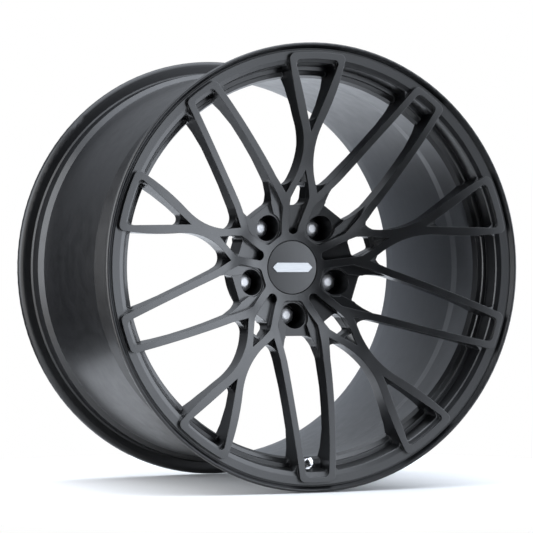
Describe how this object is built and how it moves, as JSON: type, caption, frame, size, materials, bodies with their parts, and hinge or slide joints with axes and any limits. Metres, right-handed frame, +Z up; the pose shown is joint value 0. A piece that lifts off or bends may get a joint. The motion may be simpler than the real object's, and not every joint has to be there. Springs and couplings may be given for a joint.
{
  "type": "racing wheel rim",
  "caption": "Forged two-piece wheel rim with forked and paired spokes on a deep barrel, with a pull-off centre cap, screwed lug nuts with captive washers and a tyre valve.",
  "frame": {"origin": "centre of the hub's mounting face, on the wheel's axis", "axes": "+Y along the wheel's axis, inboard towards the car; -Y is the styled face; +Z up through a forked spoke, with the valve at -Z; +X to the right seen from the styled face"},
  "size_m": [0.5473, 0.3399, 0.5474],
  "materials": {
    "satin_black_paint": "satin",
    "barrel_black_paint": "satin",
    "cap_black": "satin",
    "badge_metal": "satin",
    "spring_wire": "satin",
    "nut_chrome": "polished",
    "washer_steel": "satin",
    "valve_chrome": "polished",
    "seal_rubber": "matte",
    "valve_brass": "satin"
  },
  "bodies": {
    "wheel": {"wheel_centre": "satin_black_paint", "rim_barrel": "barrel_black_paint", "valve_stem": "valve_chrome", "valve_grommet": "seal_rubber", "valve_washer": "valve_chrome", "valve_nut": "valve_chrome", "valve_core_body": "valve_brass", "valve_spring": "spring_wire"},
    "cap": {"centre_cap": "cap_black", "cap_badge": "badge_metal", "cap_spring_ring": "spring_wire"},
    "washer_1": {"lug_seat_1": "washer_steel"},
    "nut_1": {"lug_nut_1": "nut_chrome"},
    "washer_2": {"lug_seat_2": "washer_steel"},
    "nut_2": {"lug_nut_2": "nut_chrome"},
    "washer_3": {"lug_seat_3": "washer_steel"},
    "nut_3": {"lug_nut_3": "nut_chrome"},
    "washer_4": {"lug_seat_4": "washer_steel"},
    "nut_4": {"lug_nut_4": "nut_chrome"},
    "washer_5": {"lug_seat_5": "washer_steel"},
    "nut_5": {"lug_nut_5": "nut_chrome"},
    "valve_cap_seal": {"valve_cap_seal": "seal_rubber"},
    "valve_cap": {"valve_cap": "valve_chrome"},
    "valve_pin": {"valve_core_pin": "valve_brass"}
  },
  "joints": [
    {"name": "cap_pull", "type": "slide", "parent": "wheel", "child": "cap", "axis": [0, -1, 0], "range_m": [0, 0.03]},
    {"name": "nut_1_lift", "type": "slide", "parent": "wheel", "child": "washer_1", "axis": [0, -1, 0], "range_m": [0, 0.012]},
    {"name": "nut_1_turn", "type": "hinge", "parent": "washer_1", "child": "nut_1", "pos_m": [0.03527, -0.0135, 0.04854], "axis": [0, -1, 0], "range_deg": [0, 2880]},
    {"name": "nut_2_lift", "type": "slide", "parent": "wheel", "child": "washer_2", "axis": [0, -1, 0], "range_m": [0, 0.012]},
    {"name": "nut_2_turn", "type": "hinge", "parent": "washer_2", "child": "nut_2", "pos_m": [0.05706, -0.0135, -0.01854], "axis": [0, -1, 0], "range_deg": [0, 2880]},
    {"name": "nut_3_lift", "type": "slide", "parent": "wheel", "child": "washer_3", "axis": [0, -1, 0], "range_m": [0, 0.012]},
    {"name": "nut_3_turn", "type": "hinge", "parent": "washer_3", "child": "nut_3", "pos_m": [0, -0.0135, -0.06], "axis": [0, -1, 0], "range_deg": [0, 2880]},
    {"name": "nut_4_lift", "type": "slide", "parent": "wheel", "child": "washer_4", "axis": [0, -1, 0], "range_m": [0, 0.012]},
    {"name": "nut_4_turn", "type": "hinge", "parent": "washer_4", "child": "nut_4", "pos_m": [-0.05706, -0.0135, -0.01854], "axis": [0, -1, 0], "range_deg": [0, 2880]},
    {"name": "nut_5_lift", "type": "slide", "parent": "wheel", "child": "washer_5", "axis": [0, -1, 0], "range_m": [0, 0.012]},
    {"name": "nut_5_turn", "type": "hinge", "parent": "washer_5", "child": "nut_5", "pos_m": [-0.03527, -0.0135, 0.04854], "axis": [0, -1, 0], "range_deg": [0, 2880]},
    {"name": "valve_cap_lift", "type": "slide", "parent": "wheel", "child": "valve_cap_seal", "axis": [0, -0.9432, 0.3322], "range_m": [0, 0.00397]},
    {"name": "valve_cap_turn", "type": "hinge", "parent": "valve_cap_seal", "child": "valve_cap", "pos_m": [0, -0.09475, -0.23869], "axis": [0, -0.9432, 0.3322], "range_deg": [0, 1800]},
    {"name": "valve_pin_press", "type": "slide", "parent": "wheel", "child": "valve_pin", "axis": [0, 0.9432, -0.3322], "range_m": [0, 0.001], "stiffness_N_per_m": 800, "springref_m": -0.002, "deforming": ["valve_spring"]}
  ],
  "couplings": [
    {"joint": "nut_1_turn", "follows": "nut_1_lift", "rad_per_m": 4188.8},
    {"joint": "nut_2_turn", "follows": "nut_2_lift", "rad_per_m": 4188.8},
    {"joint": "nut_3_turn", "follows": "nut_3_lift", "rad_per_m": 4188.8},
    {"joint": "nut_4_turn", "follows": "nut_4_lift", "rad_per_m": 4188.8},
    {"joint": "nut_5_turn", "follows": "nut_5_lift", "rad_per_m": 4188.8},
    {"joint": "valve_cap_turn", "follows": "valve_cap_lift", "rad_per_m": 7913.3}
  ]
}
